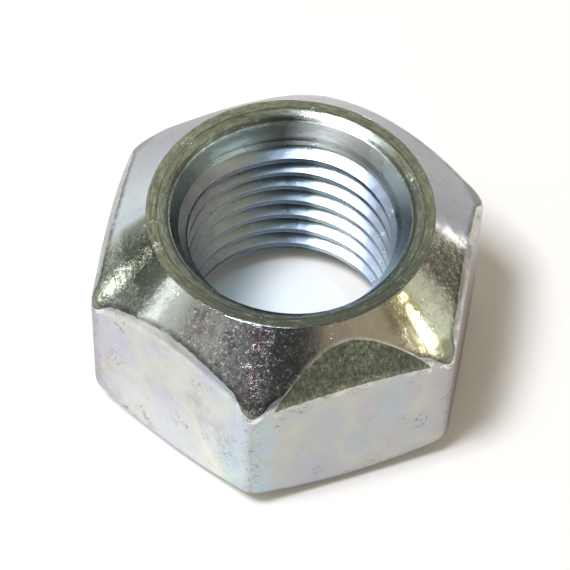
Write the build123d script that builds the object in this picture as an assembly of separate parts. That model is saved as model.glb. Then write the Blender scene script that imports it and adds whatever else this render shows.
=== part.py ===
from build123d import *
from math import cos, hypot, pi, radians, sqrt, tan
import os

# All-metal hexagon lock nut, M12 x 1.25, forged crown with a rolled lip and two crimps.
# Frame: +Z up along the thread, origin at the centre of the bearing face. Millimetres.

# Hexagon
across_flats = 19.0
corner_round = 1.1  # the six upright corners are full, as a cold former leaves them
height = 11.5

# Thread: a plain bore at the minor diameter stands for it
thread_diameter = 12.0
thread_pitch = 1.25
minor_diameter = thread_diameter - 1.0825 * thread_pitch

# Bearing end
bearing_inset = 1.2  # the chamfer starts this far in from the flats
base_chamfer_angle = 22.0
base_mouth_clearance = 1.0  # the countersink is this much wider than the thread
base_mouth_angle = 50.0

# Crown: a slightly hollow flank that climbs from the corners to a rolled lip
shoulder_height = 8.05  # flank height at the sharp corner of the hexagon
shoulder_round = 0.8
flank_hollow = 0.08  # how deep the flank's curve lies under a straight cone
lip_wall = 1.19
lip_round = 0.3
lip_roll = 0.6  # the lip's top starts to roll down this far out from the countersink
lip_fall = 0.3  # and is this much lower at the countersink's edge
lip_roll_round = 0.5

# Countersink of the bore at the crown
mouth_clearance = 0.46
mouth_angle = 60.0

# Crimps: two jaws press the flank over opposite flats
first_crimp_direction = -90.0  # a crimped flat looks along -Y
crimp_depth = 0.62  # how far a crimp takes the flat's upper edge down
crimp_angle = 55.0  # steeper than the flank above it
jaw_radius = 50.0  # the jaw face is curved, but far less than the flank
seam_direction = first_crimp_direction + 120  # the turned faces' seam is on a plain flat

half_flats = across_flats / 2
sharp_corner = half_flats / cos(pi / 6)
bore_radius = minor_diameter / 2
mouth_radius = (thread_diameter + mouth_clearance) / 2
lip_radius = mouth_radius + lip_wall


def drop(run, angle):
    """Height gained over a run at an angle to the horizontal."""
    return run * tan(radians(angle))


def flank_height(radius):
    """Height of the hollow flank at a distance from the axis."""
    run = sharp_corner - lip_radius
    rise = height - shoulder_height
    chord = hypot(run, rise)
    curve = (chord**2 / 4 + flank_hollow**2) / (2 * flank_hollow)
    lift = curve - flank_hollow
    centre_radius = (sharp_corner + lip_radius) / 2 + lift * rise / chord
    centre_height = (shoulder_height + height) / 2 + lift * run / chord
    return centre_height - sqrt(curve**2 - (radius - centre_radius) ** 2)


def corner_at(sketch, radius, level):
    """The section's corner nearest to a radius and a height."""
    return sketch.vertices().sort_by_distance((radius, 0, level))[0]


def turned_blank():
    """The nut as if it were round: bore, mouths, bearing chamfer, flank and lip."""
    base_mouth_radius = (thread_diameter + base_mouth_clearance) / 2
    bearing_radius = half_flats - bearing_inset
    bore_foot = drop(base_mouth_radius - bore_radius, base_mouth_angle)
    mouth_edge = height - lip_fall
    bore_head = mouth_edge - drop(mouth_radius - bore_radius, mouth_angle)
    roll_radius = mouth_radius + lip_roll
    chamfer_top = drop(sharp_corner - bearing_radius, base_chamfer_angle)
    flank_middle = (sharp_corner + lip_radius) / 2
    with BuildSketch(Plane.XZ) as section:
        with BuildLine():
            Polyline(
                (lip_radius, height),
                (roll_radius, height),
                (mouth_radius, mouth_edge),
                (bore_radius, bore_head),
                (bore_radius, bore_foot),
                (base_mouth_radius, 0),
                (bearing_radius, 0),
                (sharp_corner, chamfer_top),
                (sharp_corner, shoulder_height),
            )
            ThreePointArc(
                (sharp_corner, shoulder_height),
                (flank_middle, flank_height(flank_middle)),
                (lip_radius, height),
            )
        make_face()
    outline = section.sketch
    outline = fillet(corner_at(outline, lip_radius, height), lip_round)
    outline = fillet(corner_at(outline, roll_radius, height), lip_roll_round)
    blank = revolve(outline, Axis.Z, 360)
    return Rot(0, 0, seam_direction) * blank


def hexagon_bar():
    """Hexagon bar with full corners, as tall as the nut."""
    outline = RegularPolygon(half_flats, 6, major_radius=False)
    outline = fillet(outline.vertices(), corner_round)
    return extrude(outline, height)


def on_shoulder(edge):
    """True for an edge along which a flat or a corner ends at the flank."""
    middle = edge.position_at(0.5)
    upright = abs(edge.tangent_at(0.5).Z) > 0.5
    return not upright and middle.Z > height / 2 and hypot(middle.X, middle.Y) > half_flats - 0.01


def forged_body():
    """The turned blank kept inside the hexagon, with a rounded shoulder all the way round."""
    body = turned_blank() & hexagon_bar()
    return fillet(body.edges().filter_by(on_shoulder), shoulder_round)


def crimp_jaw():
    """What a jaw presses away on a flat that looks along +X: all above a slanted, wide curve."""
    foot = flank_height(half_flats) - crimp_depth
    reach = (height - foot) / tan(radians(crimp_angle))
    outside = jaw_radius + corner_round
    with BuildSketch(Plane.XZ) as section:
        with BuildLine():
            Polyline(
                (jaw_radius - reach, height),
                (outside, height),
                (outside, foot - drop(corner_round, crimp_angle)),
                close=True,
            )
        make_face()
    jaw = revolve(section.sketch, Axis.Z, 360)
    return Pos(half_flats - jaw_radius, 0, 0) * jaw


def lock_nut():
    """The forged body with its crown crimped over two opposite flats."""
    nut = forged_body()
    for direction in (first_crimp_direction, first_crimp_direction + 180):
        nut -= Rot(0, 0, direction) * crimp_jaw()
    return nut


os.makedirs("parts", exist_ok=True)
export_step(lock_nut(), "parts/lock_nut.step")
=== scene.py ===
from math import ceil, cos, pi, radians, sin, tan

import bpy
import numpy as np
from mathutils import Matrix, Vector


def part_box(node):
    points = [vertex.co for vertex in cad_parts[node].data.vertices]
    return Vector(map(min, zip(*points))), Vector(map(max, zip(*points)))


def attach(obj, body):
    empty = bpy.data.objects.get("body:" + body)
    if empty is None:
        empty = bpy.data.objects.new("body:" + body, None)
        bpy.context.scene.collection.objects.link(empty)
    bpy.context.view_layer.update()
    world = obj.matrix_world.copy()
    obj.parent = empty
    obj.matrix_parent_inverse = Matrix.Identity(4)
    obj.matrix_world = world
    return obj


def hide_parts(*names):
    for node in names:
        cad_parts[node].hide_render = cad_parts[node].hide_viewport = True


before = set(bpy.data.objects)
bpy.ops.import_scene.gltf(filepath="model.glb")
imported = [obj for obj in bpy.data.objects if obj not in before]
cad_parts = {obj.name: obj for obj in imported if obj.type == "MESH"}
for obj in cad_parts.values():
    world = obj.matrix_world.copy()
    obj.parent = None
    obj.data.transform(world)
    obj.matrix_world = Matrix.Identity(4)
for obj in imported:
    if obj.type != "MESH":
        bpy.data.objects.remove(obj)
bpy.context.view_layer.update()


# The nut: one piece of steel, cold forged in a die from hexagon bar, with full
# corners, a chamfered bearing face and a hollow flank that climbs to a rolled
# lip. Two jaws have pressed their marks into the flank over opposite flats.

MM = 0.001  # sizes are written in millimetres, and meshes are in metres
nut_low, nut_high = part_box("lock_nut")
height = nut_high.z / MM
half_flats = nut_high.y / MM
sharp_corner = half_flats / cos(pi / 6)  # how far out a corner would be without its rounding
corner_round = 1.1

thread_diameter = 12.0
pitch = 1.25
bore_radius = (thread_diameter - 1.0825 * pitch) / 2

# The bearing end: a 22 degree chamfer outside and a 50 degree countersink inside.
bearing_radius = half_flats - 1.2
base_chamfer = tan(radians(22))
chamfer_top = (sharp_corner - bearing_radius) * base_chamfer
base_mouth_radius = thread_diameter / 2 + 0.5
base_mouth_top = (base_mouth_radius - bore_radius) * tan(radians(50))

# The flank: a little hollow, with shallow waves, and it droops towards the corners.
shoulder_height = 8.05
shoulder_round = 0.8
flank_hollow = 0.028
wave_depth = 0.002
droop_start = 8.8
droop_run = 1.7
corner_droop = 0.09

# The lip: from a 60 degree countersink over a roll to the top, and down to the flank.
mouth_radius = thread_diameter / 2 + 0.23
mouth_edge = height - 0.3
mouth_foot = mouth_edge - (mouth_radius - bore_radius) * tan(radians(60))
roll_radius = mouth_radius + 0.6
lip_radius = mouth_radius + 1.19

# The jaw marks: steep, slightly curved faces over the flats that look along -Y and +Y.
crimp_directions = (-90, 90)
crimp_depth = 0.62
crimp_angle = radians(55)
crimp_round = 0.05
jaw_radius = 50.0
turns_pressed = 0.35


def flank_straight(radius):
    """Height of a straight flank from the hexagon's sharp corner to the lip."""
    share = (sharp_corner - radius) / (sharp_corner - lip_radius)
    return shoulder_height + (height - shoulder_height) * share


def flank_height(radius):
    """Height of the real flank, which lies a little under the straight one."""
    share = (sharp_corner - radius) / (sharp_corner - lip_radius)
    return flank_straight(radius) - 4 * flank_hollow * share * (1 - share)


def jaw_height(x, y, direction):
    """Height of the slanted, wide curve that one jaw presses to."""
    foot = flank_height(half_flats) - crimp_depth
    along = x * cos(radians(direction)) + y * sin(radians(direction))
    across = -x * sin(radians(direction)) + y * cos(radians(direction))
    from_jaw_axis = np.hypot(along - half_flats + jaw_radius, across)
    return foot + (jaw_radius - from_jaw_axis) * tan(crimp_angle)


def press_jaw(points, direction):
    """Pushes what stands proud of one jaw back to its face, with slightly rounded edges."""
    above_jaw = points[:, 2] - jaw_height(points[:, 0], points[:, 1], direction)
    proud = above_jaw * cos(crimp_angle)
    eased = (proud + crimp_round) ** 2 / (4 * crimp_round)
    push = np.where(np.abs(proud) < crimp_round, eased, np.maximum(proud, 0))
    inward = Vector((
        -cos(radians(direction)) * sin(crimp_angle),
        -sin(radians(direction)) * sin(crimp_angle),
        -cos(crimp_angle),
    ))
    return points + push[:, None] * np.array(inward)


def hexagon_reach(angle):
    """Distance from the axis to the rounded hexagon, for angles in radians."""
    from_flat = np.abs(angle % (pi / 3) - pi / 6)
    from_corner = pi / 6 - from_flat
    round_centre = (half_flats - corner_round) / cos(pi / 6)
    swing = np.clip(corner_round**2 - (round_centre * np.sin(from_corner)) ** 2, 0, None)
    on_round = round_centre * np.cos(from_corner) + np.sqrt(swing)
    flat_end = np.arctan2((half_flats - corner_round) * tan(pi / 6), half_flats)
    return np.where(from_flat < flat_end, half_flats / np.cos(from_flat), on_round)


def rounded_corner(here, back, ahead, rounding):
    """Points of the arc that rounds one corner between two directions."""
    half = np.arccos(np.clip(back @ ahead, -1, 1)) / 2
    middle = back + ahead
    centre = here + middle / np.linalg.norm(middle) * rounding / sin(half)
    start = here + back * rounding / tan(half) - centre
    end = here + ahead * rounding / tan(half) - centre
    turn = pi - 2 * half
    steps = max(3, ceil(turn / radians(9)))
    return [
        centre + (start * sin((1 - k / steps) * turn) + end * sin(k / steps * turn)) / sin(turn)
        for k in range(steps + 1)
    ]


def rounded_section(corners):
    """Points of a closed section from (radius, height, rounding, row spacing) corners."""
    places = [np.array(corner[:2], float) for corner in corners]
    runs = []
    for index, (_, _, rounding, _) in enumerate(corners):
        here = places[index]
        back = places[index - 1] - here
        ahead = places[(index + 1) % len(places)] - here
        back /= np.linalg.norm(back)
        ahead /= np.linalg.norm(ahead)
        runs.append(rounded_corner(here, back, ahead, rounding) if rounding else [here])
    points = []
    for index, (_, _, _, spacing) in enumerate(corners):
        run = runs[index]
        following = runs[(index + 1) % len(runs)][0]
        gap = following - run[-1]
        rows = max(1, round(np.linalg.norm(gap) / spacing))
        points += run
        points += [run[-1] + gap * k / rows for k in range(1, rows)]
    return points


section = rounded_section([
    (bore_radius, base_mouth_top, 0, 0.5),
    (base_mouth_radius, 0, 0.08, 0.6),
    (bearing_radius, 0, 0.15, 0.4),
    (sharp_corner, chamfer_top, 0.8, 0.2),
    (sharp_corner, shoulder_height, shoulder_round, 0.1),
    (lip_radius, height, 0.3, 0.2),
    (roll_radius, height, 0.5, 0.2),
    (mouth_radius, mouth_edge, 0.06, 0.12),
    (bore_radius, mouth_foot, 0, 9.0),
])

bpy.ops.object.select_all(action="DESELECT")
outline = bpy.data.meshes.new("nut_blank")
outline.from_pydata(
    [(radius * MM, 0, level * MM) for radius, level in section],
    [(k, (k + 1) % len(section)) for k in range(len(section))],
    [],
)
nut = bpy.data.objects.new("nut", outline)
bpy.context.collection.objects.link(nut)
bpy.context.view_layer.objects.active = nut
nut.select_set(True)
bpy.ops.object.mode_set(mode="EDIT")
bpy.ops.mesh.select_all(action="SELECT")
bpy.ops.mesh.spin(steps=480, angle=2 * pi, center=(0, 0, 0), axis=(0, 0, 1))
bpy.ops.mesh.select_all(action="SELECT")
bpy.ops.mesh.remove_doubles(threshold=1e-7)
bpy.ops.mesh.normals_make_consistent(inside=False)
bpy.ops.object.mode_set(mode="OBJECT")


def read_points(piece):
    """A piece's points in millimetres."""
    flat = np.empty(len(piece.data.vertices) * 3)
    piece.data.vertices.foreach_get("co", flat)
    return flat.reshape(-1, 3) / MM


def write_points(piece, points):
    """Moves a piece's points to places in millimetres."""
    piece.data.vertices.foreach_set("co", (points * MM).ravel())
    piece.data.update()


def press_into_die(points):
    """Squeezes the round blank's wall to the hexagon, and its flank and chamfer with it."""
    x, y, z = points.T
    radius = np.hypot(x, y)
    angle = np.arctan2(y, x)
    reach = hexagon_reach(angle)
    on_crown = (radius > lip_radius) & (z > height / 2)
    on_base = (radius > bearing_radius) & (z <= height / 2)
    squeeze = sharp_corner - reach
    crown_share = (sharp_corner - radius) / (sharp_corner - lip_radius)
    crown_radius = radius - squeeze + squeeze * crown_share**2
    base_share = (radius - bearing_radius) / (sharp_corner - bearing_radius)
    base_radius = bearing_radius + (reach - bearing_radius) * base_share
    new_radius = np.where(on_crown, crown_radius, np.where(on_base, base_radius, radius))
    wall_top = shoulder_height - 0.5
    wall_foot = chamfer_top + 0.55
    up_the_wall = np.clip((z - wall_foot) / (wall_top - wall_foot), 0, 1)
    lift = (flank_height(new_radius) - flank_straight(radius)) * up_the_wall
    sink = (new_radius - radius) * base_chamfer * (1 - up_the_wall)
    new_z = np.where(on_crown | on_base, z + lift + sink, z)
    return np.stack([new_radius * np.cos(angle), new_radius * np.sin(angle), new_z], 1)


def unevenness(points):
    """The flank's shallow waves round the nut, and its droop towards the corners."""
    x, y, z = points.T
    radius = np.hypot(x, y)
    angle = np.arctan2(y, x)
    off_lip = np.clip((radius - lip_radius) / 0.4, 0, 1)
    off_flats = np.clip((half_flats - radius) / 0.6, 0, 1)
    waves = wave_depth * (np.sin(23 * angle + 1.0) + np.sin(41 * angle + 2.3) - 2)
    droop = corner_droop * (np.clip(radius - droop_start, 0, None) / droop_run) ** 2
    return np.where(z > shoulder_height - 0.3, waves * off_lip * off_flats - droop, 0)


points = press_into_die(read_points(nut))
points[:, 2] += unevenness(points)
for direction in crimp_directions:
    points = press_jaw(points, direction)
points = np.clip(points, np.array(nut_low) / MM, np.array(nut_high) / MM)
write_points(nut, points)


# The thread, cut with a tap: a 60 degree form of one pitch, screwed right
# through the nut, so that the turns fade out by themselves in both countersinks.

tap_core = 5.15
groove_root = thread_diameter / 2
# Half the groove's width at each radius, from inside the bore to the rounded root.
half_groove = [(tap_core, 0.5685), (groove_root - 0.10, 0.1354), (groove_root - 0.03, 0.08)]
tap_form = [
    (tap_core, 0),
    *[(radius, pitch / 2 - half_width) for radius, half_width in half_groove],
    (groove_root, pitch / 2),
    *[(radius, pitch / 2 + half_width) for radius, half_width in reversed(half_groove)],
    (tap_core, pitch),
]
groove_height = 1.11 - pitch / 6  # of a groove's middle, straight out along +X
tap_start = groove_height - 2.5 * pitch
tap_turns = 13

bpy.ops.object.select_all(action="DESELECT")
form = bpy.data.meshes.new("tap")
form.from_pydata(
    [(radius * MM, 0, (tap_start + level) * MM) for radius, level in tap_form],
    [(k, k + 1) for k in range(len(tap_form) - 1)],
    [],
)
tap = bpy.data.objects.new("tap", form)
bpy.context.collection.objects.link(tap)
bpy.context.view_layer.objects.active = tap
tap.select_set(True)
screw = tap.modifiers.new("screw", "SCREW")
screw.axis = "Z"
screw.angle = 2 * pi
screw.screw_offset = pitch * MM
screw.iterations = tap_turns
screw.steps = screw.render_steps = 270
bpy.ops.object.modifier_apply(modifier=screw.name)
bpy.ops.object.mode_set(mode="EDIT")
bpy.ops.mesh.select_all(action="SELECT")
bpy.ops.mesh.remove_doubles(threshold=1e-6)
bpy.ops.mesh.select_all(action="DESELECT")
bpy.ops.mesh.select_non_manifold()
bpy.ops.mesh.fill_holes(sides=0)
bpy.ops.mesh.select_all(action="SELECT")
bpy.ops.mesh.flip_normals()
bpy.ops.object.mode_set(mode="OBJECT")

bpy.ops.object.select_all(action="DESELECT")
bpy.context.view_layer.objects.active = nut
nut.select_set(True)
cut = nut.modifiers.new("tapped", "BOOLEAN")
cut.operation = "DIFFERENCE"
cut.solver = "MANIFOLD"
cut.object = tap
bpy.ops.object.modifier_apply(modifier=cut.name)
bpy.data.objects.remove(tap)


# The jaws also press the upper turns down a little. Then the surface maps, in
# millimetres, which the plating reads: how far each point lies from the
# shoulder, the lip, the jaw marks and the upright corners.

points = read_points(nut)
x, y, z = points.T
radius = np.hypot(x, y)
angle = np.arctan2(y, x)
from_crimp = angle % pi - pi / 2
crimp_sink = turns_pressed * np.exp(-(from_crimp / radians(30)) ** 2)
crimp_sink *= np.clip((z - 6.0) / 3.0, 0, 1) ** 2
crimp_sink *= np.clip((6.5 - radius) / 0.5, 0, 1)
points[:, 2] -= crimp_sink
write_points(nut, points)

x, y, z = points.T
reach = hexagon_reach(angle)
wall_x = reach * np.cos(angle)
wall_y = reach * np.sin(angle)
jaw = np.min([jaw_height(x, y, direction) for direction in crimp_directions], 0)
jaw_at_wall = np.min([jaw_height(wall_x, wall_y, direction) for direction in crimp_directions], 0)
wall_top = np.minimum(flank_height(reach), jaw_at_wall)
below_wall_top = np.clip(wall_top - z, 0, None)
to_corner = np.abs((angle + pi / 2) % (pi / 3) - pi / 6) * radius
bore_edge = mouth_radius + 0.12
surface_maps = {
    "from_shoulder": np.clip(reach - radius - below_wall_top, -8, 4),
    "from_lip": np.where(z > height / 2, np.clip(lip_radius - radius, -3, 3), -3),
    "jaw_depth": np.clip(flank_height(radius) - jaw, -1, 1),
    "to_corner": np.clip(to_corner, 0, 6),
    "in_bore": np.clip((bore_edge - radius) / 0.25, 0, 1),
    "crimp_sink": crimp_sink,
}
for name, values in surface_maps.items():
    layer = nut.data.attributes.new(name, "FLOAT", "POINT")
    layer.data.foreach_set("value", values.astype(np.float32))

bpy.ops.object.select_all(action="DESELECT")
bpy.context.view_layer.objects.active = nut
nut.select_set(True)
bpy.ops.object.shade_smooth_by_angle(angle=radians(34))


# The plating: bright zinc under a thin, yellowish passivation film. The flats
# stay smooth and silvery, the forged crown is mottled and darker, the jaw marks
# are dull olive, and the bore is burnished blue grey by the tap.

plating = bpy.data.materials.new("zinc_plating")
plating.use_nodes = True
tree = plating.node_tree
shader = tree.nodes["Principled BSDF"]
shader.inputs["Metallic"].default_value = 1.0
shader.inputs["Specular Tint"].default_value = (0.80, 0.80, 0.83, 1)


def feed(socket, value):
    """Joins a node's output to a socket, or sets the socket to a plain value."""
    if isinstance(value, bpy.types.NodeSocket):
        tree.links.new(value, socket)
    else:
        socket.default_value = value


def place(kind, settings=None, **sockets):
    """A new node with its settings; sockets go by name, or by number as i0, i1, i2."""
    node = tree.nodes.new(kind)
    for name, value in (settings or {}).items():
        setattr(node, name, value)
    for name, value in sockets.items():
        numbered = name[0] == "i" and name[1:].isdigit()
        feed(node.inputs[int(name[1:]) if numbered else name], value)
    return node


def surface_map(name):
    """One of the nut's own surface maps."""
    return place("ShaderNodeAttribute", {"attribute_name": name}).outputs["Fac"]


where = place("ShaderNodeTexCoord").outputs["Object"]


def grain(scale, detail=2.0, rough=0.5, warp=0.0, vector=None):
    """Cloudy noise between 0 and 1; scale is in features a metre."""
    noise = place(
        "ShaderNodeTexNoise", {"noise_dimensions": "3D"},
        Vector=vector or where, Scale=scale, Detail=detail, Roughness=rough, Distortion=warp,
    )
    return noise.outputs["Fac"]


def calc(operation, a, b=0.0, c=0.0):
    """One step of arithmetic; MULTIPLY_ADD is a times b plus c."""
    return place("ShaderNodeMath", {"operation": operation}, i0=a, i1=b, i2=c).outputs[0]


def ramp(value, low, high, to_low=0.0, to_high=1.0):
    """A smooth step from to_low to to_high as value goes from low to high."""
    ends = {"From Min": low, "From Max": high, "To Min": to_low, "To Max": to_high}
    step = place("ShaderNodeMapRange", {"interpolation_type": "SMOOTHSTEP"}, Value=value, **ends)
    return step.outputs["Result"]


def mix_values(factor, a, b):
    """A value between a and b, by the factor."""
    return place("ShaderNodeMix", {"data_type": "FLOAT"}, i0=factor, i2=a, i3=b).outputs[0]


def blend(factor, a, b, mode="MIX"):
    """A colour between a and b, by the factor."""
    node = place("ShaderNodeMix", {"data_type": "RGBA", "blend_type": mode, "clamp_factor": True}, i0=factor)
    for socket, colour in ((node.inputs[6], a), (node.inputs[7], b)):
        feed(socket, (*colour, 1) if isinstance(colour, tuple) else colour)
    return node.outputs[2]


def tints(value, stops):
    """Colours along a value between 0 and 1."""
    node = place("ShaderNodeValToRGB", Fac=value)
    while len(node.color_ramp.elements) < len(stops):
        node.color_ramp.elements.new(0.5)
    for element, (position, colour) in zip(node.color_ramp.elements, stops):
        element.position = position
        element.color = (*colour, 1)
    return node.outputs["Color"]


tints_start = 70


def compass_tints(turn, stops):
    """Colours round the axis: stops are at compass degrees, and turn is 0 at tints_start."""
    placed = sorted(((degrees - tints_start) % 360 / 360, colour) for degrees, colour in stops)
    before, last = placed[-1]
    after, first = placed[0]
    share = (1 - before) / (1 - before + after)
    seam = tuple(a + (b - a) * share for a, b in zip(last, first))
    return tints(turn, [(0, seam), *placed, (1, seam)])


def grey_tints(turn, stops):
    """Values round the axis, as greys at compass degrees."""
    return compass_tints(turn, [(degrees, (value, value, value)) for degrees, value in stops])


def scratches(scale, width, low, high, stretch=(1, 1, 1)):
    """Broken hairlines, bent a little, running every way."""
    bend = place("ShaderNodeTexNoise", Vector=where, Scale=scale * 0.7, Detail=1.0).outputs["Color"]
    bent = place(
        "ShaderNodeVectorMath", {"operation": "MULTIPLY_ADD"}, i0=bend, i1=(0.8 / scale,) * 3, i2=where
    ).outputs["Vector"]
    drawn = place("ShaderNodeVectorMath", {"operation": "MULTIPLY"}, i0=bent, i1=stretch).outputs["Vector"]
    edge = place("ShaderNodeTexVoronoi", {"feature": "DISTANCE_TO_EDGE"}, Vector=drawn, Scale=scale)
    line = ramp(edge.outputs["Distance"], 0.0, width, 1.0, 0.0)
    return calc("MULTIPLY", line, ramp(grain(scale * 1.6, 2), low, high))


ragged = calc("SUBTRACT", grain(2600, 3, 0.6), 0.5)
fine_ragged = calc("SUBTRACT", grain(7000, 2), 0.5)


def frayed(value, amount, fray=ragged):
    """A value made a little uneven, so that an edge drawn by it is ragged."""
    return calc("MULTIPLY_ADD", fray, amount, value)


# Where a point lies: its height and its distance from the axis in millimetres,
# and its compass direction in whole turns, counted from where the tints start.
axes = place("ShaderNodeSeparateXYZ", Vector=where).outputs
above_base = calc("MULTIPLY", axes["Z"], 1 / MM)
level_place = place("ShaderNodeCombineXYZ", X=axes["X"], Y=axes["Y"]).outputs[0]
metres_out = place("ShaderNodeVectorMath", {"operation": "LENGTH"}, Vector=level_place).outputs["Value"]
from_axis = calc("MULTIPLY", metres_out, 1 / MM)
ragged_radius = frayed(from_axis, 0.5)
round_axis = calc("ARCTAN2", axes["Y"], axes["X"])
whole_turns = calc("DIVIDE", round_axis, 2 * pi)
from_start = calc("SUBTRACT", whole_turns, tints_start / 360)
turn_at_flats = calc("FRACT", from_start)
turn_at_crown = calc("FRACT", frayed(from_start, 0.010))

# Where the crown's finish ends: high on the rounded shoulder over the flats, and
# lower at the corners. The jaw marks, the lip and the bore are parts of their own.
from_shoulder = surface_map("from_shoulder")
to_corner = surface_map("to_corner")
jaw_depth = surface_map("jaw_depth")
edge_drop = calc("ADD", ramp(to_corner, 0.0, 1.1, -0.18, 0.34), ramp(to_corner, 2.0, 5.0, 0.0, 0.06))
above_edge = calc("SUBTRACT", frayed(from_shoulder, 0.16), edge_drop)
on_jaw_mark = ramp(frayed(jaw_depth, 0.05), -0.01, 0.02)
above_edge = mix_values(on_jaw_mark, above_edge, frayed(calc("ADD", from_shoulder, 0.24), 0.25))
crown_mask = ramp(above_edge, -0.03, 0.03)
jaw_mask = calc("MULTIPLY", on_jaw_mark, crown_mask)
lip_mask = ramp(frayed(surface_map("from_lip"), 0.05, fine_ragged), -0.05, 0.0)
bore_mask = ramp(surface_map("in_bore"), 0.2, 0.8)

# The flats: silver grey with soft lavender, cream and blue clouds, paler at the
# foot on two sides, with stains, hairlines and clustered pits. Their tone round the
# nut is painted light and shade: darker on the right-hand flats and beside the left
# corner, and bluish beside the front corner. A painted shade darkens the foot where
# it meets the table, and a painted highlight lies in bright ragged patches along the
# shoulder's rounded edge.
# Painted light and shade: the flats' tone by direction, darker on the right-hand flats.
flat_tone_and_shade = compass_tints(turn_at_flats, [
    (20, (0.60, 0.60, 0.60)), (110, (0.64, 0.65, 0.67)), (165, (0.46, 0.47, 0.53)),
    (179, (0.44, 0.45, 0.51)), (184, (0.61, 0.61, 0.66)), (200, (0.62, 0.64, 0.64)),
    (222, (0.62, 0.64, 0.64)), (230, (0.62, 0.65, 0.66)), (233.5, (0.55, 0.65, 0.70)),
    (238.4, (0.57, 0.66, 0.72)), (239.6, (0.48, 0.52, 0.54)), (240.4, (0.44, 0.48, 0.50)),
    (241.5, (0.43, 0.52, 0.58)), (244.5, (0.43, 0.50, 0.56)), (248, (0.47, 0.48, 0.47)),
    (290, (0.46, 0.47, 0.46)), (300, (0.44, 0.42, 0.40)), (330, (0.40, 0.36, 0.30)),
    (350, (0.56, 0.55, 0.54)),
])
clouds = tints(grain(150, 2, 0.5, 0.6), [
    (0.30, (1.00, 0.99, 1.14)), (0.42, (1.05, 1.05, 1.08)), (0.50, (1.16, 1.14, 1.03)),
    (0.58, (1.07, 1.05, 1.10)), (0.70, (0.95, 1.08, 1.15)),
])
flat_colour = blend(1.0, flat_tone_and_shade, clouds, "MULTIPLY")
paler = blend(1.0, flat_colour, (1.17, 1.18, 1.08), "MULTIPLY")
pale_sides = grey_tints(turn_at_flats, [(183, 0.0), (192, 1.0), (228, 1.0), (235, 0.0)])
pale_foot = calc("MULTIPLY", ramp(frayed(above_base, 3.0), 2.0, 6.5, 1.0, 0.0), pale_sides)
flat_colour = blend(pale_foot, flat_colour, paler)
flat_colour = blend(ramp(grain(900, 4, 0.7), 0.45, 0.75, 0.0, 0.22), flat_colour, (0.36, 0.35, 0.33))
pit_clusters = ramp(grain(420, 2, 0.6), 0.55, 0.68)
pit_clusters = calc("MAXIMUM", pit_clusters, ramp(to_corner, 0.15, 0.8, 0.75, 0.0))
pit_clusters = calc("MAXIMUM", pit_clusters, ramp(above_base, 0.3, 1.3, 0.9, 0.0))
pits = calc("MULTIPLY", ramp(grain(3400, 4, 0.75, 0.8), 0.545, 0.60), pit_clusters)
flat_colour = blend(calc("MULTIPLY", pits, 0.75), flat_colour, (0.16, 0.15, 0.13))
# Painted shade: a dark edge at the foot, where the nut meets the table.
painted_foot_shade = ramp(frayed(above_base, 0.8), 0.25, 0.6, 0.55, 0.0)
flat_colour = blend(painted_foot_shade, flat_colour, (0.22, 0.21, 0.19))
stains = calc("MULTIPLY", ramp(grain(260, 3, 0.6), 0.50, 0.66), ramp(grain(1600, 3, 0.7), 0.40, 0.60))
flat_colour = blend(calc("MULTIPLY", stains, 0.35), flat_colour, (0.42, 0.40, 0.34))
hairlines = scratches(520, 0.014, 0.5, 0.62, (1, 1, 0.5))
flat_colour = blend(calc("MULTIPLY", hairlines, 0.2), flat_colour, (0.26, 0.25, 0.24))
along_edge = ramp(calc("ABSOLUTE", calc("ADD", above_edge, 0.22)), 0.08, 0.30, 1.0, 0.0)
# Painted highlight: bright ragged patches along the shoulder's rounded edge.
painted_shoulder_highlight = calc("MULTIPLY", along_edge, ramp(grain(1500, 3, 0.6), 0.47, 0.55))
painted_shoulder_highlight = calc("MULTIPLY", painted_shoulder_highlight, ramp(to_corner, 0.3, 2.2, 1.0, 0.3))
flat_colour = blend(calc("MULTIPLY", painted_shoulder_highlight, 0.85), flat_colour, (0.92, 0.92, 0.88))

# The crown: a thicker, yellower film, hammered dull in places and smooth in others,
# with fine bright glints and a dark line along its edge. Its tone round the nut is
# partly the film's colour and partly painted reflection and shade: pale blue white on
# the left, dark at the back. Painted shade darkens the left flank and, gold tinted,
# the right one above and below their highlights, and darkens the corners' tips.
# Partly the film's own colour, partly painted reflection and shade: pale blue white on the left, dark at the
# back.
crown_tone_and_reflection = compass_tints(turn_at_crown, [
    (5, (0.42, 0.43, 0.44)), (60, (0.24, 0.24, 0.26)), (100, (0.31, 0.31, 0.34)),
    (150, (0.62, 0.70, 0.75)), (162, (0.64, 0.70, 0.72)), (165, (0.50, 0.56, 0.45)),
    (193, (0.52, 0.60, 0.48)), (197, (0.62, 0.68, 0.65)), (208, (0.58, 0.63, 0.55)),
    (214, (0.58, 0.55, 0.49)), (225, (0.60, 0.59, 0.54)), (229, (0.55, 0.56, 0.56)),
    (235, (0.53, 0.52, 0.54)), (238.5, (0.58, 0.45, 0.45)), (242, (0.50, 0.48, 0.48)),
    (254, (0.52, 0.49, 0.44)), (264, (0.66, 0.56, 0.40)), (287, (0.66, 0.55, 0.35)),
    (293, (0.74, 0.68, 0.42)), (301, (0.62, 0.65, 0.46)), (310, (0.62, 0.62, 0.45)),
    (315, (0.54, 0.50, 0.35)), (332, (0.42, 0.40, 0.30)), (334.5, (0.56, 0.56, 0.54)),
    (338, (0.38, 0.39, 0.40)), (352, (0.39, 0.40, 0.43)),
])
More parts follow.
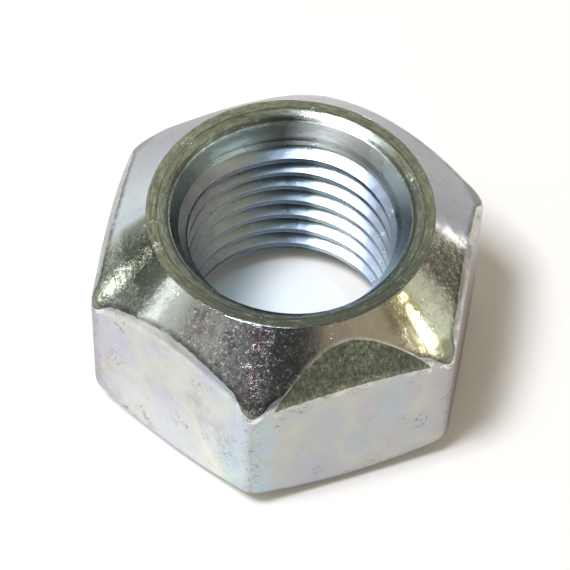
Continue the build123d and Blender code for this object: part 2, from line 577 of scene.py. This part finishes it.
hammered = grey_tints(turn_at_crown, [
    (20, 0.1), (100, 0.15), (150, 0.08), (166, 0.12), (169, 1.0), (175, 0.8), (178, 0.4),
    (183, 0.4), (187, 0.7), (193, 0.5), (196, 0.3), (204, 0.15), (210, 0.25), (213, 0.9),
    (224, 0.7), (228, 1.0), (250, 0.8), (258, 0.5), (264, 0.15), (286, 0.15), (290, 0.8),
    (293.5, 0.3), (299, 0.3), (302, 0.15), (310, 0.3), (314, 0.9), (331, 0.8), (333.5, 0.05),
    (350, 0.1),
])
mottle = grain(2100, 4, 0.65, 0.3)
specks = ramp(grain(8000, 2, 0.6), 0.50, 0.60, 0.0, 0.40)
darkening = calc("MULTIPLY_ADD", ramp(mottle, 0.46, 0.60), 0.50, specks)
darkening = calc("MULTIPLY", hammered, darkening)
crown_colour = blend(darkening, crown_tone_and_reflection, (0.12, 0.12, 0.11))
lightening = calc("MULTIPLY", hammered, ramp(grain(5200, 3, 0.7), 0.56, 0.66, 0.0, 0.7))
crown_colour = blend(lightening, crown_colour, (0.86, 0.85, 0.78))
long_glints = scratches(1100, 0.015, 0.58, 0.64)
short_glints = scratches(2900, 0.03, 0.63, 0.68, (1, 0.6, 1))
glints = calc("MAXIMUM", long_glints, short_glints)
glints = calc("MULTIPLY", glints, calc("MULTIPLY_ADD", hammered, 0.8, 0.12))
crown_colour = blend(glints, crown_colour, (0.84, 0.84, 0.78))
# Painted shade on the left flank, which keeps a lamp's highlight near the corner.
painted_left_shade = grey_tints(turn_at_flats, [
    (162, 0.0), (165, 0.7), (173, 0.65), (176, 1.0), (184, 1.0), (187, 0.65), (190, 0.6), (194, 0.0),
])
painted_left_shade = calc("MULTIPLY", painted_left_shade, ramp(ragged_radius, 8.55, 8.95, 0.92, 0.0))
crown_colour = blend(painted_left_shade, crown_colour, (0.13, 0.14, 0.10))
# Gold tinted painted shade above and below the highlight on the right.
painted_gold_shade = grey_tints(turn_at_flats, [(286, 0.0), (289, 1.0), (299, 1.0), (302, 0.3), (312, 0.0)])
above_and_below = calc(
    "ADD", ramp(ragged_radius, 8.35, 8.9, 0.88, 0.0), ramp(ragged_radius, 9.75, 10.1, 0.0, 0.6)
)
painted_gold_shade = calc("MULTIPLY", painted_gold_shade, above_and_below)
crown_colour = blend(painted_gold_shade, crown_colour, (0.30, 0.27, 0.14))
# Painted shade: darker tips at the corners.
painted_tip_shade = calc("MULTIPLY", ramp(to_corner, 0.6, 1.6, 1.0, 0.0), ramp(ragged_radius, 9.8, 10.2))
crown_colour = blend(calc("MULTIPLY", painted_tip_shade, 0.65), crown_colour, (0.17, 0.17, 0.13))
edge_line = calc("MULTIPLY", ramp(above_edge, 0.05, 0.32, 1.0, 0.0), ramp(grain(1800, 3), 0.34, 0.50))
crown_colour = blend(calc("MULTIPLY", edge_line, 0.8), crown_colour, (0.13, 0.14, 0.11))

# The jaw marks: dark mottled olive with fine bright scratches, and a painted
# highlight along the ridge where each one meets the flank above it.
jaw_place = place("ShaderNodeVectorMath", {"operation": "MULTIPLY"}, i0=where, i1=(1.0, 1.0, 0.4))
jaw_colour = tints(grain(5200, 4, 0.75, vector=jaw_place.outputs["Vector"]), [
    (0.36, (0.09, 0.10, 0.06)), (0.50, (0.22, 0.23, 0.15)), (0.60, (0.34, 0.35, 0.25)),
    (0.70, (0.52, 0.52, 0.42)),
])
jaw_colour = blend(ramp(grain(700, 3), 0.42, 0.60, 0.0, 0.5), jaw_colour, (0.12, 0.12, 0.09))
jaw_scratches = calc("MULTIPLY", scratches(1700, 0.025, 0.56, 0.62, (1, 1, 0.3)), 0.7)
jaw_colour = blend(jaw_scratches, jaw_colour, (0.8, 0.8, 0.72))
# Painted highlight along the ridge of each jaw mark.
ridge_highlight = calc("MULTIPLY", ramp(jaw_depth, -0.035, -0.012), ramp(jaw_depth, 0.012, 0.03, 1.0, 0.0))
ridge_highlight = calc("MULTIPLY", ridge_highlight, ramp(grain(900, 3), 0.38, 0.55, 0.25, 0.95))

# The lip: olive, with turned rings and with painted light and shade in bands: bright
# at the countersink's edge, darker just outside it and at the roll.
# Its tones run outwards over the millimetre beyond a radius of 6 mm, and its noise is
# laid out round the axis, so that it runs in rings.
# Painted light and shade: a bright band at the countersink's edge, dark bands just outside it and at the
# roll.
lip_tone_and_light = tints(calc("SUBTRACT", from_axis, 6.0), [
    (0.00, (0.50, 0.54, 0.52)), (0.16, (0.52, 0.56, 0.54)), (0.22, (0.72, 0.74, 0.68)),
    (0.27, (0.66, 0.68, 0.60)), (0.31, (0.16, 0.17, 0.13)), (0.44, (0.20, 0.21, 0.16)),
    (0.50, (0.42, 0.46, 0.38)), (0.84, (0.48, 0.51, 0.42)), (0.87, (0.26, 0.27, 0.21)),
    (0.92, (0.30, 0.31, 0.25)), (0.97, (0.54, 0.56, 0.46)), (1.00, (0.50, 0.52, 0.42)),
])
# Painted light and shade round the lip: darker at the front, brighter on the left.
lip_painted_shade = compass_tints(turn_at_flats, [
    (60, (1.05, 1.05, 1.00)), (150, (1.25, 1.25, 1.20)), (195, (0.95, 0.95, 0.92)),
    (225, (0.50, 0.56, 0.60)), (300, (0.46, 0.51, 0.54)), (340, (1.00, 1.00, 0.95)),
])
lip_tone_and_light = blend(1.0, lip_tone_and_light, lip_painted_shade, "MULTIPLY")
ring_x = calc("MULTIPLY", calc("COSINE", round_axis), 9.0)
ring_y = calc("MULTIPLY", calc("SINE", round_axis), 9.0)
ring_place = place("ShaderNodeCombineXYZ", X=ring_x, Y=ring_y, Z=calc("MULTIPLY", from_axis, 12.0))
turned_rings = grain(1.0, 3, 0.6, vector=ring_place.outputs[0])
lip_colour = blend(ramp(turned_rings, 0.46, 0.62, 0.0, 0.55), lip_tone_and_light, (0.18, 0.19, 0.14))
lip_colour = blend(ramp(turned_rings, 0.42, 0.32, 0.0, 0.6), lip_colour, (0.80, 0.82, 0.74))
lip_colour = blend(ramp(grain(2400, 4, 0.7), 0.48, 0.62, 0.0, 0.4), lip_colour, (0.20, 0.20, 0.15))

# The bore: burnished blue grey flanks with a painted reflection of the overhead
# light as a near white band on the far wall and painted shade beside it, a dull,
# dark land on the thread's crests whose strength round the bore is painted shade,
# and a paler cone at the crown's countersink with a painted highlight on its far side.
before_pressing = calc("ADD", above_base, surface_map("crimp_sink"))
turns_up = calc("DIVIDE", calc("SUBTRACT", before_pressing, tap_start), pitch)
from_crest = calc("ABSOLUTE", calc("WRAP", calc("SUBTRACT", turns_up, whole_turns), 0.5, -0.5))
land = ramp(frayed(calc("SUBTRACT", 0.125, from_crest), 0.05, fine_ragged), 0.0, 0.03)
land = calc("MULTIPLY", land, ramp(from_axis, 5.78, 5.92, 1.0, 0.0))
# Painted reflection and shade: a near white band of the overhead light at 30 to 55 degrees, painted shade
# beyond it.
bore_tone_and_light = compass_tints(turn_at_flats, [
    (5, (0.58, 0.63, 0.72)), (20, (0.42, 0.46, 0.54)), (26, (0.50, 0.55, 0.62)),
    (30, (0.84, 0.90, 0.92)), (55, (0.80, 0.90, 0.92)), (59.5, (0.36, 0.44, 0.50)),
    (72, (0.34, 0.42, 0.48)), (82, (0.42, 0.50, 0.55)), (88, (0.44, 0.52, 0.58)),
    (98, (0.52, 0.53, 0.50)), (130, (0.50, 0.50, 0.47)), (160, (0.50, 0.54, 0.56)),
    (250, (0.40, 0.45, 0.48)), (340, (0.50, 0.56, 0.64)),
])
bore_tone_and_light = blend(ramp(grain(900, 3, 0.6), 0.35, 0.65, 0.0, 0.25), bore_tone_and_light, (0.30, 0.32, 0.33))
# Painted highlight: the cone turns near white on its far side.
cone_tone_and_highlight = compass_tints(turn_at_flats, [
    (0, (0.50, 0.56, 0.54)), (25, (0.62, 0.66, 0.64)), (40, (0.95, 0.96, 0.94)),
    (66, (0.90, 0.94, 0.92)), (74, (0.36, 0.40, 0.36)), (110, (0.46, 0.50, 0.40)),
    (170, (0.30, 0.33, 0.28)), (250, (0.30, 0.34, 0.32)), (330, (0.36, 0.42, 0.42)),
])
bore_tone_and_light = blend(ramp(frayed(above_base, 0.3), 9.75, 10.0), bore_tone_and_light, cone_tone_and_highlight)
# Painted shade: how dark the lands are varies round the bore.
land_dullness_and_shade = grey_tints(turn_at_flats, [
    (110, 0.85), (150, 0.6), (200, 0.6), (330, 0.35), (10, 0.40), (25, 0.45), (35, 0.25),
    (52, 0.35), (62, 0.85), (70, 0.93),
])
bore_tone_and_light = blend(calc("MULTIPLY", land, land_dullness_and_shade), bore_tone_and_light, (0.10, 0.115, 0.13))

colour = blend(crown_mask, flat_colour, crown_colour)
colour = blend(jaw_mask, colour, jaw_colour)
colour = blend(calc("MULTIPLY", ridge_highlight, crown_mask), colour, (0.82, 0.80, 0.66))
colour = blend(lip_mask, colour, lip_colour)
colour = blend(bore_mask, colour, bore_tone_and_light)
tree.links.new(colour, shader.inputs["Base Color"])

rough = calc("MULTIPLY_ADD", grain(1200, 3), 0.14, 0.24)
crown_rough = calc("MULTIPLY_ADD", calc("MULTIPLY", hammered, mottle), 0.20, 0.08)
crown_rough = mix_values(calc("MAXIMUM", glints, lightening), crown_rough, 0.42)
rough = mix_values(crown_mask, rough, crown_rough)
rough = mix_values(jaw_mask, rough, calc("MULTIPLY_ADD", grain(2500, 3), 0.3, 0.30))
rough = mix_values(lip_mask, rough, calc("MULTIPLY_ADD", grain(2400, 3), 0.2, 0.14))
rough = mix_values(bore_mask, rough, calc("MULTIPLY_ADD", grain(1500, 3), 0.2, 0.20))
tree.links.new(rough, shader.inputs["Roughness"])

hammer_marks = calc("MULTIPLY", grain(3600, 3, 0.6), crown_mask)
jaw_marks = calc("MULTIPLY", grain(3500, 3, 0.6), jaw_mask)
ring_marks = calc("MULTIPLY", turned_rings, lip_mask)
relief = calc("MULTIPLY", grain(700, 2), 1.2)
relief = calc("MULTIPLY_ADD", hammer_marks, hammered, relief)
relief = calc("MULTIPLY_ADD", jaw_marks, 0.8, relief)
relief = calc("MULTIPLY_ADD", ring_marks, 0.5, relief)
relief = calc("MULTIPLY_ADD", pits, -0.4, relief)
bump = place("ShaderNodeBump", Height=relief, Strength=0.6, Distance=0.00003)
tree.links.new(bump.outputs["Normal"], shader.inputs["Normal"])

nut.data.materials.clear()
nut.data.materials.append(plating)
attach(nut, "root")
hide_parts("lock_nut")


# The table: a wide white sheet of paper. It shows white where the light falls on
# it and a warm grey where the nut shades it.

bpy.ops.object.select_all(action="DESELECT")
bpy.ops.mesh.primitive_plane_add(size=0.3, location=(0, 0, 0))
table = bpy.context.object
table.name = "table"
sheet = bpy.data.materials.new("white_sheet")
sheet.use_nodes = True
tree = sheet.node_tree
paper = tree.nodes["Principled BSDF"]
paper.inputs["Base Color"].default_value = (0.88, 0.79, 0.66, 1)
paper.inputs["Roughness"].default_value = 0.9
paper.inputs["Specular IOR Level"].default_value = 0.0
paper.inputs["Emission Color"].default_value = (1.0, 1.0, 1.0, 1)
seen_directly = place("ShaderNodeLightPath").outputs["Is Camera Ray"]
tree.links.new(calc("MULTIPLY", seen_directly, 0.05), paper.inputs["Emission Strength"])
table.data.materials.append(sheet)


# The room that the plating reflects: pale at the horizon, with light and dark
# walls above it and a dim olive ceiling. It is plain white where a camera looks
# past the table.

room = bpy.data.worlds.new("room")
bpy.context.scene.world = room
room.use_nodes = True
tree = room.node_tree
tree.nodes.clear()
outward = place("ShaderNodeTexCoord").outputs["Generated"]
sides = place("ShaderNodeSeparateXYZ", Vector=outward).outputs
upward = sides["Z"]


def heading(compass, rise):
    """The direction at a compass angle and a rise above the horizon, in degrees."""
    level = cos(radians(rise))
    return Vector((level * cos(radians(compass)), level * sin(radians(compass)), sin(radians(rise))))


def towards(compass, rise, near, far):
    """1 within an angle of a direction, falling to 0 at a wider one, in degrees."""
    aim = heading(compass, rise)
    nearness = place("ShaderNodeVectorMath", {"operation": "DOT_PRODUCT"}, i0=outward, i1=aim)
    return ramp(nearness.outputs["Value"], cos(radians(far)), cos(radians(near)))


room_turns = calc("DIVIDE", calc("ARCTAN2", sides["Y"], sides["X"]), 2 * pi)
walls = grey_tints(calc("FRACT", calc("SUBTRACT", room_turns, tints_start / 360)), [
    (20, 0.45), (110, 0.45), (122, 0.34), (131, 0.36), (138, 0.23), (146, 0.24), (152, 0.34),
    (161, 0.24), (164, 0.30), (165.5, 1.5), (169.5, 1.45), (174, 0.85), (184, 0.58), (193, 0.40),
    (203, 0.58), (212, 0.36), (223, 0.26), (233, 0.27), (243, 0.13), (256, 0.12), (266, 0.18),
    (276, 0.34), (303, 0.46), (313, 0.42), (320, 0.50), (330, 0.88), (343, 0.86), (346, 0.26),
    (8, 0.20), (11, 0.22),
])
walls = blend(ramp(upward, 0.64, 0.74), walls, (0.42, 0.42, 0.34))
walls = blend(ramp(upward, 0.84, 0.95), walls, (0.24, 0.21, 0.16))
walls = blend(towards(249, 53, 10, 26), walls, (0.05, 0.05, 0.05))
walls = blend(towards(220, 10, 8, 16), walls, (1.2, 1.25, 1.3))
walls = blend(ramp(upward, 0.05, 0.055), (0.92, 0.93, 0.95), walls)
walls = blend(towards(14, 1.5, 2.2, 3.5), walls, (2.4, 2.4, 2.4))
seen_directly = place("ShaderNodeLightPath").outputs["Is Camera Ray"]
glow = place("ShaderNodeBackground", Color=walls, Strength=1.0)
plain = place("ShaderNodeBackground", Color=(1, 1, 1, 1), Strength=1.0)
mixed = place("ShaderNodeMixShader", i0=seen_directly, i1=glow.outputs[0], i2=plain.outputs[0])
place("ShaderNodeOutputWorld", Surface=mixed.outputs[0])


# The lamps: a broad, cool light overhead with a dimmer window beside it, and a
# small lamp low on each side, which draw the bright lines on the crown.


def lamp(name, compass, rise, distance, size, brightness, colour=(1, 1, 1)):
    """A rectangular window of light, aimed at the nut; size is (width, height)."""
    light = bpy.data.lights.new(name, "AREA")
    light.shape = "RECTANGLE"
    light.size, light.size_y = size
    light.energy = brightness * pi * size[0] * size[1]
    light.color = colour
    holder = bpy.data.objects.new(name, light)
    bpy.context.collection.objects.link(holder)
    aim = heading(compass, rise)
    holder.location = aim * distance + Vector((0, 0, height * MM / 2))
    holder.rotation_euler = aim.to_track_quat("Z", "Y").to_euler()


lamp("overhead", 189, 67, 0.6, (0.155, 0.175), 39.0, (0.88, 1.0, 1.27))
lamp("ceiling_window", 204, 61, 0.6, (0.24, 0.12), 3.0, (0.90, 0.97, 1.0))
lamp("left_lamp", 145, 8.5, 0.6, (0.026, 0.026), 13.0)
lamp("right_lamp", 327, 20.5, 0.6, (0.036, 0.03), 25.0, (1.0, 0.97, 0.88))

# A narrow, blue beam from high over the bore, which reaches the table through it.
beam = bpy.data.lights.new("bore_lamp", "SPOT")
beam.spot_size = radians(1.0)
beam.spot_blend = 0.3
beam.shadow_soft_size = 0.002
beam.energy = 4.8
beam.color = (0.22, 0.60, 1.0)
bore_lamp = bpy.data.objects.new("bore_lamp", beam)
bpy.context.collection.objects.link(bore_lamp)
bore_lamp.location = (0.080, -0.067, 0.591)
bore_lamp.rotation_euler = bore_lamp.location.to_track_quat("Z", "Y").to_euler()


# The camera: a long lens, in front of the nut and well above it, and a little
# to its left, held slightly tilted.

camera = bpy.data.objects.new("camera", bpy.data.cameras.new("camera"))
bpy.context.collection.objects.link(camera)
camera.location = (-0.03373, -0.08814, 0.13127)
camera.rotation_euler = (radians(36.8), 0, radians(-20.82))
camera.rotation_euler.rotate_axis("Z", radians(1.5))
camera.data.lens = 187.86
camera.data.sensor_width = 36
camera.data.clip_start = 0.01
bpy.context.scene.camera = camera
bpy.context.scene.view_settings.view_transform = "Standard"
